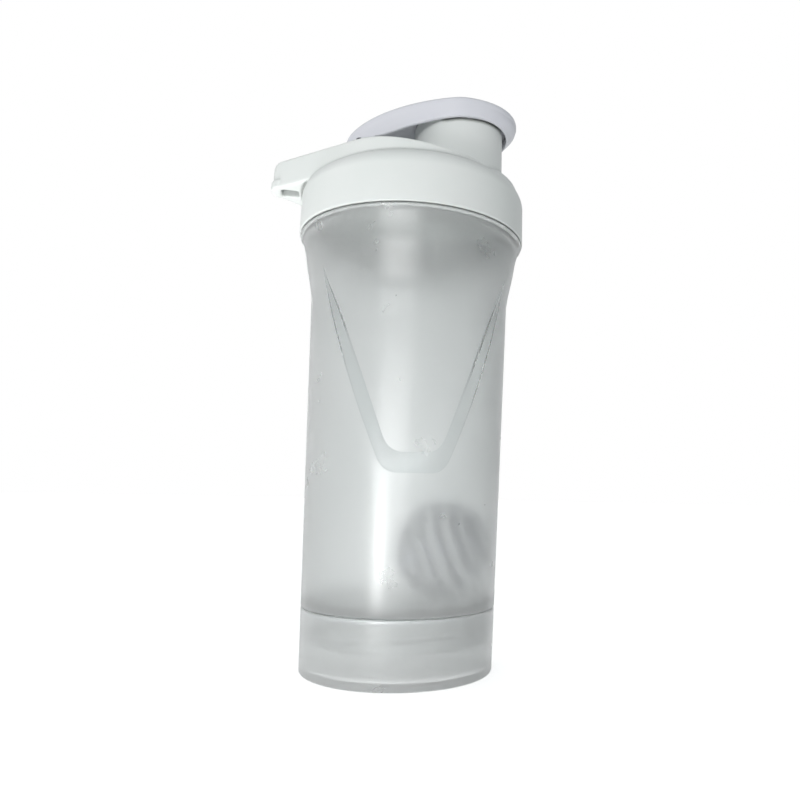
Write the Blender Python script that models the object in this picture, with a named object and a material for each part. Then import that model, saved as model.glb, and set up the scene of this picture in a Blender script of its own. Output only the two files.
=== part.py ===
"""Protein shaker bottle: storage cup, main cup, whisk ball, screw lid and flip cap.

Metres, +Z up. The origin is the centre of the base on the bottle's axis, +X points at the
spout and -X at the carry tab. The cup screws onto the storage cup and the lid screws onto
the cup, both with two-start threads, and the flip cap turns on a pin behind the spout.
"""

from math import asin, cos, pi, radians, sin, tan

import bmesh
import bpy

# General fits
GAP = 0.0003  # between faces that rest on each other
THREAD_GAP = 0.0004  # radial and axial play of a thread
PIN_GAP = 0.0001
EDGE = 0.0004  # small bevel on moulded edges
SEGMENTS = 60

# Storage cup and main cup, outside shape
BASE_RADIUS = 0.0375
BASE_CORNER = 0.0008
COMPARTMENT_HEIGHT = 0.0238
WAIST_RADIUS = 0.04165
WAIST_Z = 0.146
COLLAR_RADIUS = 0.0478
COLLAR_HEIGHT = 0.0284  # from the waist to the lid's lower edge
CUP_WALL = 0.0018
FLOOR = 0.0022
PANEL_DEPTH = 0.0008
PANEL_HEIGHT = 0.070
PANEL_FOOT = 0.011  # half the width at the bottom
PANEL_KNEE = 0.008  # height of its lower corners
PANEL_KNEE_OUT = 0.0045
PANEL_LEAN = radians(19.5)
FLOOR_CORNER = 0.003
BEAD = 0.0010  # height of the bead under the lid

# Threads
THREAD_DEPTH = 0.0013
THREAD_WIDTH = 0.0020
THREAD_STARTS = 2
THREAD_TURN = 150  # degrees that each start covers
THREAD_LEAD = 0.012
BASE_THREAD_LEAD = 0.010
NECK_HEIGHT = 0.0160
NECK_WALL = 0.0017
BOSS_HEIGHT = 0.0125
BOSS_WALL = 0.0020
THREAD_INSET = 0.0020  # from the neck's rim to its thread

# Seals
GASKET_THICK = 0.0020
BASE_SEAL_HEIGHT = 0.0022

# Lid
LID_WALL = 0.0017
LID_PROUD = 0.0006  # outside radius beyond the cup's collar
SKIRT_HEIGHT = 0.0160
SHOULDER_ROUND = 0.008
DECK_RADIUS = 0.042
DECK_LOW = 0.0264  # deck rim above the lid's lower edge, beside the spout
DECK_RISE = 0.0046  # further rise of the rim towards the tab
DECK_PLATE = 0.0022
DECK_RIM = 0.0020
DECK_SINK = 0.0012
TAB_REACH = 0.0610
TAB_TIP = 0.0058
TAB_LIP = 0.0006
TAB_LIP_HEIGHT = 0.0040
TAB_DEPTH = 0.0122  # height of the tab's tip
TAB_CORNER = 0.0035  # rounding of its upper end
TAB_ROOT = 0.045  # where the lip ends, from the axis
SLOT_LENGTH = 0.0073
SLOT_HALF = 0.0035
SLOT_CORNER = 0.0015
SLOT_GUARD = 0.0015  # from the skirt to the tab's slot
OVERLAP = 0.0010  # depth of one shape in another before they are joined
DECK_HIGH_X = -0.028  # where the rim is at its full height
DECK_LOW_X = 0.018

# Spout
SPOUT_X = 0.01945
SPOUT_RADIUS = 0.0200
SPOUT_WALL = 0.0022
SPOUT_HEIGHT = 0.0296  # above the low deck rim
SPOUT_FLARE = 0.0086
SPOUT_FLARE_HEIGHT = 0.0200
FLARE_SHIFT = 0.0060  # of the flared root's axis, away from the tab

# Flip cap and hinge
HINGE_BACK = 0.04495  # from the spout's axis to the hinge
HINGE_DROP = 0.0146  # below the spout's rim
PIN_RADIUS = 0.0015
LUG_RADIUS = 0.0036
LUG_HALF = 0.0045
LUG_GAP = 0.0005
LUG_ROOT = 0.0020  # extra length of the lug's root
CHEEK_REACH = 0.0042  # from the hinge to the front of the arm's cheeks
CHEEK_DROP = 0.0065
CHEEK_TOP = 0.0022
CAP_WALL = 0.0018
CAP_RISE = 0.0064  # top of the cap above the spout's rim
CAP_OVERLAP = 0.0033  # skirt below the spout's rim
CAP_FIT = 0.0004
CAP_SWING = 0.0015  # room on the far side, for the skirt's swing
CAP_SKIRT = 0.0005  # extra thickness of the skirt
SKIRT_SAG = 0.0040  # of the lower edge, from the spout's side to its back
CAP_LIP = 0.0040
CAP_TAIL = 0.0064
CAP_TAIL_HALF = 0.0094
ARM_FOOT_DROP = 0.0025  # from the hinge down to the foot of the arch
ARM_POWER = 1.88
PLUG_DEPTH = 0.0030
PLUG_TAPER = 0.62  # radius lost for each unit of depth
PLUG_INSET = 0.0042  # from the spout's bore to the cap's boss
PLUG_BOSS_WALL = 0.0020
PLUG_FLANGE = 0.0010  # from the spout's outside to the flange's edge
DISH_RIM = 0.0042
DISH_DEPTH = 0.0012
TAIL_CORNER = 0.003

# Whisk ball
BALL_RADIUS = 0.0190
WIRE_RADIUS = 0.0011
WIRE_TURNS = 7
BALL_PLAY = 0.0010  # from the ball to the cup's wall

# Worked out from the sizes above
COLLAR_Z = WAIST_Z + COLLAR_HEIGHT
LID_Z = COLLAR_Z + GAP
LID_RADIUS = COLLAR_RADIUS + LID_PROUD
LID_BORE = LID_RADIUS - LID_WALL
NECK_RADIUS = LID_BORE - THREAD_DEPTH - THREAD_GAP
NECK_BORE = NECK_RADIUS - NECK_WALL
NECK_TOP = COLLAR_Z + NECK_HEIGHT
SEAT_Z = NECK_TOP + GASKET_THICK + 2 * GAP
SHOULDER_Z = LID_Z + SKIRT_HEIGHT
SHOULDER_CENTRE = LID_RADIUS - SHOULDER_ROUND
DECK_Z = LID_Z + DECK_LOW
SPOUT_RIM = DECK_Z + SPOUT_HEIGHT
SPOUT_BORE = SPOUT_RADIUS - SPOUT_WALL
CUP_Z = COMPARTMENT_HEIGHT + GAP
CUP_FLOOR_Z = CUP_Z + FLOOR
BOSS_FOOT = CUP_Z - BOSS_HEIGHT
THREAD_RISE = THREAD_TURN / 360
MESH_DROP = 0.75 * THREAD_WIDTH + THREAD_GAP  # from a male ridge down to its female one
HINGE_X = SPOUT_X - HINGE_BACK
HINGE_Z = SPOUT_RIM - HINGE_DROP
CAP_TOP = SPOUT_RIM + CAP_RISE
CAP_EDGE = SPOUT_RIM - CAP_OVERLAP
CAP_BORE = SPOUT_RADIUS + CAP_FIT
CAP_RADIUS = CAP_BORE + CAP_WALL + CAP_SKIRT
CAP_CEILING = SPOUT_RIM + GASKET_THICK - GAP
PLUG_BOSS_RADIUS = SPOUT_BORE - PLUG_INSET


def cup_radius(z):
    """Outside radius of the tapered wall, which the storage cup and the cup share."""
    return BASE_RADIUS + (WAIST_RADIUS - BASE_RADIUS) * z / WAIST_Z


COMPARTMENT_BORE = cup_radius(BOSS_FOOT) - CUP_WALL
THREAD_BOSS_RADIUS = COMPARTMENT_BORE - THREAD_DEPTH - THREAD_GAP
BOSS_THREAD_Z = CUP_Z - 2 * GAP - BASE_SEAL_HEIGHT - BASE_THREAD_LEAD * THREAD_RISE - THREAD_WIDTH / 2
NECK_THREAD_Z = NECK_TOP - THREAD_INSET - THREAD_LEAD * THREAD_RISE - THREAD_WIDTH / 2


# Shapes

def new_object(name, bm):
    bmesh.ops.recalc_face_normals(bm, faces=bm.faces)
    mesh = bpy.data.meshes.new(name)
    bm.to_mesh(mesh)
    bm.free()
    obj = bpy.data.objects.new(name, mesh)
    bpy.context.collection.objects.link(obj)
    return obj


def turned(name, profile, x=0.0, segments=SEGMENTS):
    """A solid of revolution about a vertical axis at x, from a closed (radius, z) outline."""
    bm = bmesh.new()
    rings = []
    for radius, z in profile:
        if radius < 1e-9:
            rings.append([bm.verts.new((x, 0, z))])
            continue
        angles = [2 * pi * i / segments for i in range(segments)]
        rings.append([bm.verts.new((x + radius * cos(a), radius * sin(a), z)) for a in angles])
    for first, second in zip(rings, rings[1:] + rings[:1]):
        for i in range(segments):
            j = (i + 1) % segments
            corners = [first[i % len(first)], first[j % len(first)]]
            corners += [second[j % len(second)], second[i % len(second)]]
            face = list(dict.fromkeys(corners))
            if len(face) > 2:
                bm.faces.new(face)
    return new_object(name, bm)


def extruded(name, outline, place, low, high):
    """A prism. place(a, b, c) turns an outline point and a height into x, y, z."""
    bm = bmesh.new()
    lower = [bm.verts.new(place(a, b, low)) for a, b in outline]
    upper = [bm.verts.new(place(a, b, high)) for a, b in outline]
    bm.faces.new(lower)
    bm.faces.new(upper)
    count = len(outline)
    for i in range(count):
        j = (i + 1) % count
        bm.faces.new((lower[i], lower[j], upper[j], upper[i]))
    return new_object(name, bm)


def plan_prism(name, outline, low, high):
    return extruded(name, outline, lambda a, b, c: (a, b, c), low, high)


def side_prism(name, outline, low, high):
    return extruded(name, outline, lambda a, b, c: (a, c, b), low, high)


def combined(target, tool, operation):
    """Applies one Boolean and removes the tool. The exact solver opens thread and slot edges here."""
    modifier = target.modifiers.new(operation, "BOOLEAN")
    modifier.object = tool
    modifier.operation = operation
    modifier.solver = "MANIFOLD"
    graph = bpy.context.evaluated_depsgraph_get()
    result = bpy.data.meshes.new_from_object(target.evaluated_get(graph))
    target.modifiers.clear()
    target.data = result
    bpy.data.objects.remove(tool, do_unlink=True)
    return target


def joined(target, *tools):
    for tool in tools:
        combined(target, tool, "UNION")
    return target


def cut(target, *tools):
    for tool in tools:
        combined(target, tool, "DIFFERENCE")
    return target


def common(target, tool):
    return combined(target, tool, "INTERSECT")


def arc(x, y, radius, first, last, steps):
    """Points of an arc about (x, y), with angles in degrees."""
    angles = [radians(first + (last - first) * i / steps) for i in range(steps + 1)]
    return [(x + radius * cos(a), y + radius * sin(a)) for a in angles]


def ridge(name, root, crest, z, lead, start, steps=20):
    """One start of a thread, from radius root to radius crest, tapered at both ends."""
    bm = bmesh.new()
    sections = []
    outward = 1 if crest > root else -1
    for i in range(steps + 1):
        share = i / steps
        angle = radians(start + THREAD_TURN * share)
        height = z + lead * THREAD_RISE * share
        full = min(1.0, 5 * share + 0.12, 5 * (1 - share) + 0.12)
        tip = root + (crest - root) * full
        foot = root - outward * GAP
        half = THREAD_WIDTH / 2
        corners = [(foot, -half), (tip, -half / 2), (tip, half / 2), (foot, half)]
        ring = [bm.verts.new((r * cos(angle), r * sin(angle), height + h)) for r, h in corners]
        sections.append(ring)
    for first, second in zip(sections, sections[1:]):
        for i in range(4):
            j = (i + 1) % 4
            bm.faces.new((first[i], first[j], second[j], second[i]))
    bm.faces.new(sections[0])
    bm.faces.new(sections[-1])
    return new_object(name, bm)


def thread(target, root, crest, z, lead):
    """Adds every start of a thread to a wall."""
    for i in range(THREAD_STARTS):
        joined(target, ridge("ridge", root, crest, z, lead, 360 * i / THREAD_STARTS))
    return target


def finished(obj, name, material, origin=(0, 0, 0), sharp=35):
    """Names a sub-part, gives it its material and moves its origin onto its joint's axis."""
    obj.name = name
    obj.data.name = name
    obj.data.materials.clear()
    obj.data.materials.append(material)
    for vertex in obj.data.vertices:
        vertex.co = [value - shift for value, shift in zip(vertex.co, origin)]
    obj.location = origin
    obj.data.shade_smooth()
    obj.data.set_sharp_from_angle(angle=radians(sharp))
    return obj


def plastic(name, color, roughness, alpha=1.0, metallic=0.0):
    material = bpy.data.materials.new(name)
    material.use_nodes = True
    shader = material.node_tree.nodes["Principled BSDF"]
    shader.inputs["Base Color"].default_value = (*color, 1)
    shader.inputs["Roughness"].default_value = roughness
    shader.inputs["Metallic"].default_value = metallic
    shader.inputs["Alpha"].default_value = alpha
    return material


# Storage cup

def storage_cup(material):
    """The screw-on compartment that the bottle stands on."""
    top = COMPARTMENT_HEIGHT
    profile = [
        (0, FLOOR),
        (BASE_RADIUS - CUP_WALL - FLOOR_CORNER, FLOOR),
        (cup_radius(FLOOR) - CUP_WALL, FLOOR + FLOOR_CORNER),
        (COMPARTMENT_BORE, BOSS_FOOT - EDGE),
        (COMPARTMENT_BORE, top),
        (cup_radius(top) - EDGE, top),
        (cup_radius(top), top - EDGE),
        (cup_radius(BASE_CORNER), BASE_CORNER),
        (BASE_RADIUS - BASE_CORNER, 0),
        (0, 0),
    ]
    body = turned("storage_cup", profile)
    crest = COMPARTMENT_BORE - THREAD_DEPTH
    thread(body, COMPARTMENT_BORE, crest, BOSS_THREAD_Z - MESH_DROP, BASE_THREAD_LEAD)
    return finished(body, "storage_cup", material)


def base_seal(material):
    """Ring seal at the top of the boss, inside the storage cup's mouth."""
    high = CUP_Z - GAP
    low = high - BASE_SEAL_HEIGHT
    inner = THREAD_BOSS_RADIUS + GAP
    outer = COMPARTMENT_BORE - GAP
    middle = (low + high) / 2
    bulge = outer - EDGE
    profile = [(inner, low), (bulge, low), (outer, middle), (bulge, high), (inner, high)]
    return finished(turned("base_seal", profile), "base_seal", material)


# Cup

def cup_profile():
    root = THREAD_BOSS_RADIUS
    flare = [(0.06, 0.0), (0.20, 0.13), (0.50, 0.40), (0.85, 0.715), (0.925, 0.82)]
    grow = COLLAR_RADIUS - WAIST_RADIUS
    outside = [(WAIST_RADIUS + grow * r, WAIST_Z + COLLAR_HEIGHT * z) for z, r in flare]
    bead = COLLAR_Z - BEAD
    throat = WAIST_Z + 0.7 * COLLAR_HEIGHT
    waist_bore = WAIST_RADIUS - CUP_WALL
    return [
        (0, CUP_Z),
        (root - BOSS_WALL, CUP_Z),
        (root - BOSS_WALL, BOSS_FOOT),
        (root - EDGE, BOSS_FOOT),
        (root, BOSS_FOOT + EDGE),
        (root, CUP_Z),
        (cup_radius(CUP_Z) - EDGE, CUP_Z),
        (cup_radius(CUP_Z), CUP_Z + EDGE),
        (WAIST_RADIUS, WAIST_Z),
        *outside,
        (COLLAR_RADIUS - EDGE, bead - EDGE),
        (COLLAR_RADIUS, bead),
        (COLLAR_RADIUS, COLLAR_Z),
        (NECK_RADIUS, COLLAR_Z),
        (NECK_RADIUS, NECK_TOP - EDGE),
        (NECK_RADIUS - EDGE, NECK_TOP),
        (NECK_BORE + EDGE, NECK_TOP),
        (NECK_BORE, NECK_TOP - EDGE),
        (NECK_BORE, throat),
        (waist_bore, WAIST_Z),
        (cup_radius(CUP_FLOOR_Z) - CUP_WALL, CUP_FLOOR_Z + FLOOR_CORNER),
        (cup_radius(CUP_FLOOR_Z) - CUP_WALL - FLOOR_CORNER, CUP_FLOOR_Z),
        (0, CUP_FLOOR_Z),
    ]


def panel_cutter(side):
    """A V-shaped panel, PANEL_DEPTH deep, that runs out where the wall flares to the collar."""
    low = WAIST_Z - PANEL_HEIGHT
    high = WAIST_Z + 0.30 * COLLAR_HEIGHT
    knee = low + PANEL_KNEE
    knee_x = PANEL_FOOT + PANEL_KNEE_OUT
    top_x = knee_x + (high - knee) * tan(PANEL_LEAN)
    outline = [(-PANEL_FOOT, low), (PANEL_FOOT, low), (knee_x, knee), (top_x, high)]
    outline += [(-top_x, high), (-knee_x, knee)]
    far = 1.5 * COLLAR_RADIUS
    cutter = side_prism("panel", outline, *sorted((side * far, side * 0.3 * WAIST_RADIUS)))
    core = [
        (0, low - 0.01),
        (cup_radius(low - 0.01) - PANEL_DEPTH, low - 0.01),
        (WAIST_RADIUS - PANEL_DEPTH, WAIST_Z),
        (COLLAR_RADIUS - PANEL_DEPTH, COLLAR_Z),
        (0, COLLAR_Z),
    ]
    return cut(cutter, turned("core", core))


def cup(material):
    body = turned("cup", cup_profile())
    cut(body, panel_cutter(-1), panel_cutter(1))
    thread(body, NECK_RADIUS, NECK_RADIUS + THREAD_DEPTH, NECK_THREAD_Z, THREAD_LEAD)
    crest = THREAD_BOSS_RADIUS + THREAD_DEPTH
    thread(body, THREAD_BOSS_RADIUS, crest, BOSS_THREAD_Z, BASE_THREAD_LEAD)
    return finished(body, "cup", material)


# Whisk ball

def whisk_ball(material):
    """One wire wound on a sphere, both ends tucked in at the poles."""
    reach = BALL_RADIUS - WIRE_RADIUS
    steps = WIRE_TURNS * 18
    curve = bpy.data.curves.new("whisk_ball", "CURVE")
    curve.dimensions = "3D"
    curve.bevel_depth = WIRE_RADIUS
    curve.bevel_resolution = 1
    curve.use_fill_caps = True
    spline = curve.splines.new("POLY")
    spline.points.add(steps)
    low, high = radians(16), radians(164)
    for i, point in enumerate(spline.points):
        share = i / steps
        polar = low + (high - low) * share
        turn = 2 * pi * WIRE_TURNS * share
        across = reach * sin(polar)
        point.co = (across * cos(turn), across * sin(turn), reach * cos(polar), 1)
    wire = bpy.data.objects.new("wire", curve)
    bpy.context.collection.objects.link(wire)
    graph = bpy.context.evaluated_depsgraph_get()
    mesh = bpy.data.meshes.new_from_object(wire.evaluated_get(graph))
    bpy.data.objects.remove(wire, do_unlink=True)
    ball = bpy.data.objects.new("whisk_ball", mesh)
    bpy.context.collection.objects.link(ball)
    finished(ball, "whisk_ball", material, sharp=80)
    top_z = CUP_FLOOR_Z + GAP + 2 * BALL_RADIUS
    wall = cup_radius(CUP_FLOOR_Z + BALL_RADIUS) - CUP_WALL - BALL_RADIUS
    ball.location = (wall - BALL_PLAY, 0, top_z - BALL_RADIUS)
    ball.rotation_euler = (radians(22), radians(64), 0)
    return ball


# Lid

def teardrop(radius, reach, tip, grow=0.0, steps=24):
    """Plan of the deck: a circle about the origin and a small tip circle, joined by tangents."""
    centre = -(reach - tip)
    lean = asin((radius - tip) / -centre) * 180 / pi
    around = 90 + lean
    points = arc(0, 0, radius + grow, -around, around, 2 * steps)
    return points + arc(centre, 0, tip + grow, around, 360 - around, 8)


def deck_side(drop):
    """Side view of the deck's top, lowered by drop: high at the tab, low at the spout."""
    high = DECK_Z + DECK_RISE - drop
    corner = arc(TAB_CORNER - TAB_REACH, high - TAB_CORNER, TAB_CORNER, 90, 180, 6)
    return [(SPOUT_X + 2 * DECK_RADIUS, DECK_Z - drop), (DECK_LOW_X, DECK_Z - drop),
            (DECK_HIGH_X, high), *corner, (-2 * TAB_REACH, high - TAB_CORNER)]


def deck_block(name, outline, drop, foot):
    """A plan outline from height foot up to the deck's top, less drop."""
    side = deck_side(drop) + [(-2 * TAB_REACH, foot), (SPOUT_X + 2 * DECK_RADIUS, foot)]
    width = 2 * DECK_RADIUS
    block = plan_prism(name, outline, foot - 0.01, DECK_Z + 0.05)
    return common(block, side_prism("side", side, -width, width))


def tab_block(name, grow, height):
    """The foot of the carry tab, outside the skirt."""
    foot = DECK_Z + DECK_RISE - TAB_DEPTH
    outline = teardrop(DECK_RADIUS, TAB_REACH, TAB_TIP, grow)
    far = 1.1 * TAB_REACH
    top = foot + height
    side = [(-far, foot), (-TAB_ROOT, foot), (-TAB_ROOT, top), (-far, top)]
    return common(plan_prism(name, outline, foot - 0.01, top + 0.01),
                  side_prism("side", side, -DECK_RADIUS, DECK_RADIUS))


def tab_slot():
    """A rounded slot down through the tab."""
    near = -LID_RADIUS - SLOT_GUARD - SLOT_CORNER
    far = near - SLOT_LENGTH + 2 * SLOT_CORNER
    half = SLOT_HALF - SLOT_CORNER
    outline = []
    for x, y, start in ((near, half, 0), (far, half, 90), (far, -half, 180), (near, -half, 270)):
        outline += arc(x, y, SLOT_CORNER, start, start + 90, 4)
    return plan_prism("slot", outline, SHOULDER_Z - 0.01, DECK_Z + 0.03)


def spout():
    """A straight tube and, on the side away from the tab, its flared root."""
    foot = DECK_Z + SPOUT_FLARE_HEIGHT * 0.6 - SPOUT_FLARE_HEIGHT
    tube = [(0, foot), (SPOUT_RADIUS, foot), (SPOUT_RADIUS, SPOUT_RIM - EDGE)]
    tube += [(SPOUT_RADIUS - EDGE, SPOUT_RIM), (0, SPOUT_RIM)]
    growth = [(1.0, 0.0), (0.95, 0.20), (0.76, 0.42), (0.42, 0.66), (0.16, 0.84), (-0.02, 1.0)]
    least = SPOUT_RADIUS - FLARE_SHIFT
    side = [(least + SPOUT_FLARE * r, foot + SPOUT_FLARE_HEIGHT * z) for r, z in growth]
    flare = [(0, foot), *side, (0, side[-1][1])]
    return joined(turned("spout", tube, SPOUT_X), turned("flare", flare, SPOUT_X + FLARE_SHIFT))


def lid_profile():
    shoulder = arc(SHOULDER_CENTRE, SHOULDER_Z, SHOULDER_ROUND, 0, 84, 7)
    return [
        (0, LID_Z),
        (LID_RADIUS - EDGE, LID_Z),
        (LID_RADIUS, LID_Z + EDGE),
        *shoulder,
        (0, shoulder[-1][1]),
    ]


def lid_hollow():
    """What the neck, the gasket and the underside of the deck leave free."""
    inner = DECK_RADIUS - DECK_PLATE
    hollow = turned("hollow", [
        (0, LID_Z - 0.01),
        (LID_BORE, LID_Z - 0.01),
        (LID_BORE, SEAT_Z),
        (inner, SEAT_Z),
        (inner, SEAT_Z + 2 * OVERLAP),
        (0, SEAT_Z + 2 * OVERLAP),
    ])
    circle = arc(0, 0, inner, 0, 350, 35)
    return hollow, deck_block("under", circle, DECK_SINK + DECK_PLATE, SEAT_Z)


def hinge_lug():
    """A rounded lug on the deck that carries the pin."""
    foot = DECK_Z + 0.5 * DECK_RISE - DECK_SINK - OVERLAP
    outline = arc(HINGE_X, HINGE_Z, LUG_RADIUS, 0, 180, 12)
    root = HINGE_X + LUG_RADIUS + LUG_ROOT
    outline += [(HINGE_X - LUG_RADIUS, foot), (root, foot), (root, HINGE_Z - CHEEK_DROP)]
    return side_prism("lug", outline, -LUG_HALF, LUG_HALF)


def cylinder_y(name, radius, half, steps=24):
    outline = arc(HINGE_X, HINGE_Z, radius, 0, 360 * (steps - 1) / steps, steps - 1)
    return side_prism(name, outline, -half, half)


def lid(material):
    """One moulding: skirt, shoulder, deck, carry tab, spout and hinge lug."""
    body = turned("lid", lid_profile())
    outline = teardrop(DECK_RADIUS, TAB_REACH, TAB_TIP)
    joined(body, deck_block("deck", outline, 0.0, SHOULDER_Z + 0.5 * SHOULDER_ROUND))
    joined(body, tab_block("tab", 0.0, 2 * TAB_LIP_HEIGHT), tab_block("lip", TAB_LIP, TAB_LIP_HEIGHT))
    tray = teardrop(DECK_RADIUS, TAB_REACH, TAB_TIP, -DECK_RIM)
    side = deck_side(DECK_SINK) + [(-2 * TAB_REACH, DECK_Z + 0.05), (0.1, DECK_Z + 0.05)]
    tray_tool = plan_prism("tray", tray, DECK_Z - 0.01, DECK_Z + 0.03)
    cut(body, common(tray_tool, side_prism("side", side, -DECK_RADIUS, DECK_RADIUS)))
    joined(body, spout(), hinge_lug())
    cut(body, *lid_hollow())
    bore = [(0, SEAT_Z), (SPOUT_BORE, SEAT_Z), (SPOUT_BORE, SPOUT_RIM + 0.01), (0, SPOUT_RIM + 0.01)]
    cut(body, turned("bore", bore, SPOUT_X))
    cut(body, tab_slot(), cylinder_y("pin_hole", PIN_RADIUS + PIN_GAP, 2 * LUG_HALF))
    thread(body, LID_BORE, LID_BORE - THREAD_DEPTH, NECK_THREAD_Z - MESH_DROP, THREAD_LEAD)
    return finished(body, "lid", material)


def lid_gasket(material):
    """Flat ring between the neck's rim and the lid."""
    low = NECK_TOP + GAP
    inner = NECK_BORE
    outer = LID_BORE - GAP
    profile = [(inner, low), (outer, low), (outer, low + GASKET_THICK), (inner, low + GASKET_THICK)]
    return finished(turned("lid_gasket", profile), "lid_gasket", material)


def hinge_pin(material):
    half = cap_half_width(HINGE_X) - GAP
    return finished(cylinder_y("hinge_pin", PIN_RADIUS, half), "hinge_pin", material,
                    (HINGE_X, 0, HINGE_Z))


# Flip cap

def cap_half_width(x):
    """Half the arm's width at x, on the tangents between the cap and its tail."""
    share = (SPOUT_X - x) / (SPOUT_X - (HINGE_X - CAP_TAIL))
    return CAP_RADIUS + (CAP_TAIL_HALF - CAP_RADIUS) * share


def cap_plan(inset):
    """Plan of the cap: a disc with a thumb lip, and the arm that narrows to its tail."""
    disc = []
    for i in range(37):
        angle = radians(-90 + 5 * i)
        radius = CAP_RADIUS + CAP_LIP * cos(angle) ** 2 - inset
        disc.append((SPOUT_X + radius * cos(angle), radius * sin(angle)))
    tail = HINGE_X - CAP_TAIL + inset
    half = CAP_TAIL_HALF - inset
    left = arc(tail + TAIL_CORNER, half - TAIL_CORNER, TAIL_CORNER, 90, 180, 4)
    return disc + left + [(x, -y) for x, y in reversed(left)]


def arch(inset, steps=22):
    """Side view of the cap's top, from the tail to the disc."""
    foot = HINGE_Z - ARM_FOOT_DROP
    length = SPOUT_X - (HINGE_X - CAP_TAIL) - inset
    rise = CAP_TOP - foot - inset
    points = []
    for i in range(steps + 1):
        share = cos(pi / 2 * i / steps)
        height = (1 - share**ARM_POWER) ** (1 / ARM_POWER)
        points.append((SPOUT_X - length * share, foot + rise * height))
    return points


def cap_block(name, inset, low):
    """The cap's solid shape, moved in by inset, down to height low."""
    side = arch(inset) + [(SPOUT_X + 2 * CAP_RADIUS, CAP_TOP - inset)]
    side += [(SPOUT_X + 2 * CAP_RADIUS, low), (HINGE_X - CAP_TAIL + inset, low)]
    block = plan_prism(name, cap_plan(inset), low - 0.01, CAP_TOP + 0.01)
    return common(block, side_prism("side", side, -0.1, 0.1))


def below_cap():
    """What lies under the skirt's edge and under the arm's lower edge."""
    low = HINGE_Z - CHEEK_DROP
    far = SPOUT_X + 2 * CAP_RADIUS
    cheek = HINGE_X + CHEEK_REACH
    side = [
        (far, low - 0.02),
        (far, CAP_EDGE - 0.2 * SKIRT_SAG),
        (SPOUT_X, CAP_EDGE),
        (SPOUT_X - 0.45 * CAP_RADIUS, CAP_EDGE - 0.25 * SKIRT_SAG),
        (SPOUT_X - CAP_RADIUS, CAP_EDGE - SKIRT_SAG),
        (cheek, HINGE_Z + CHEEK_TOP),
        (cheek - OVERLAP, low),
        (HINGE_X - 2 * CAP_TAIL, low),
        (HINGE_X - 2 * CAP_TAIL, low - 0.02),
    ]
    return side_prism("below", side, -0.1, 0.1)


def lug_slot():
    """Opening in the arm's rear end, so that the arm swings past the lug."""
    half = LUG_HALF + LUG_GAP
    far = 3 * CAP_TAIL
    reach = HINGE_X + LUG_RADIUS + LUG_GAP
    side = [(HINGE_X - far, HINGE_Z - far), (reach, HINGE_Z - far), (reach, HINGE_Z + far)]
    side += [(HINGE_X - far, HINGE_Z + far)]
    return side_prism("lug_slot", side, -half, half)


def skirt_bore():
    """Room for the spout under the cap, longer on the far side for the skirt's swing."""
    outline = arc(SPOUT_X, 0, CAP_BORE, 90, 270, 18)
    outline += arc(SPOUT_X + CAP_SWING, 0, CAP_BORE, 270, 450, 18)
    return plan_prism("skirt_bore", outline, CAP_EDGE - 0.02, CAP_CEILING)


def flip_cap(material):
    cap = cap_block("flip_cap", 0.0, HINGE_Z - 0.02)
    hollow = cap_block("hollow", CAP_WALL, HINGE_Z - 0.03)
    disc_keep = turned("keep", [(0, CAP_CEILING), (CAP_BORE, CAP_CEILING),
                                (CAP_BORE, CAP_TOP + 0.01), (0, CAP_TOP + 0.01)], SPOUT_X)
    behind = [(-0.1, -0.1), (SPOUT_X, -0.1), (SPOUT_X, 0.1), (-0.1, 0.1)]
    common(hollow, plan_prism("behind", behind, 0, 1))
    cut(cap, cut(hollow, disc_keep), skirt_bore(), below_cap(), lug_slot())
    dish_radius = CAP_RADIUS - DISH_RIM
    dish = [(0, CAP_TOP - DISH_DEPTH), (dish_radius - DISH_DEPTH, CAP_TOP - DISH_DEPTH)]
    dish += [(dish_radius, CAP_TOP + OVERLAP), (0, CAP_TOP + OVERLAP)]
    cut(cap, turned("dish", dish, SPOUT_X))
    foot = SPOUT_RIM - PLUG_DEPTH + 2 * GAP
    inner = PLUG_BOSS_RADIUS - PLUG_BOSS_WALL
    head = CAP_CEILING + OVERLAP
    ring = [(inner, foot), (PLUG_BOSS_RADIUS, foot), (PLUG_BOSS_RADIUS, head), (inner, head)]
    joined(cap, turned("boss", ring, SPOUT_X))
    cut(cap, cylinder_y("pin_hole", PIN_RADIUS + PIN_GAP, 2 * CAP_RADIUS))
    return finished(cap, "flip_cap", material, (HINGE_X, 0, HINGE_Z))


def spout_seal(material):
    """Tapered plug ring round the cap's boss, with a flange over the spout's rim."""
    inner = PLUG_BOSS_RADIUS + GAP
    mouth = SPOUT_BORE - GAP
    flange = SPOUT_RADIUS - PLUG_FLANGE
    profile = [
        (inner, SPOUT_RIM - PLUG_DEPTH),
        (mouth - PLUG_TAPER * PLUG_DEPTH, SPOUT_RIM - PLUG_DEPTH),
        (mouth, SPOUT_RIM),
        (mouth, SPOUT_RIM + GAP),
        (flange, SPOUT_RIM + GAP),
        (flange, CAP_CEILING - GAP),
        (inner, CAP_CEILING - GAP),
    ]
    seal = turned("spout_seal", profile, SPOUT_X)
    return finished(seal, "spout_seal", material, (HINGE_X, 0, HINGE_Z))


def clear_scene():
    for obj in list(bpy.data.objects):
        bpy.data.objects.remove(obj, do_unlink=True)


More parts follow.
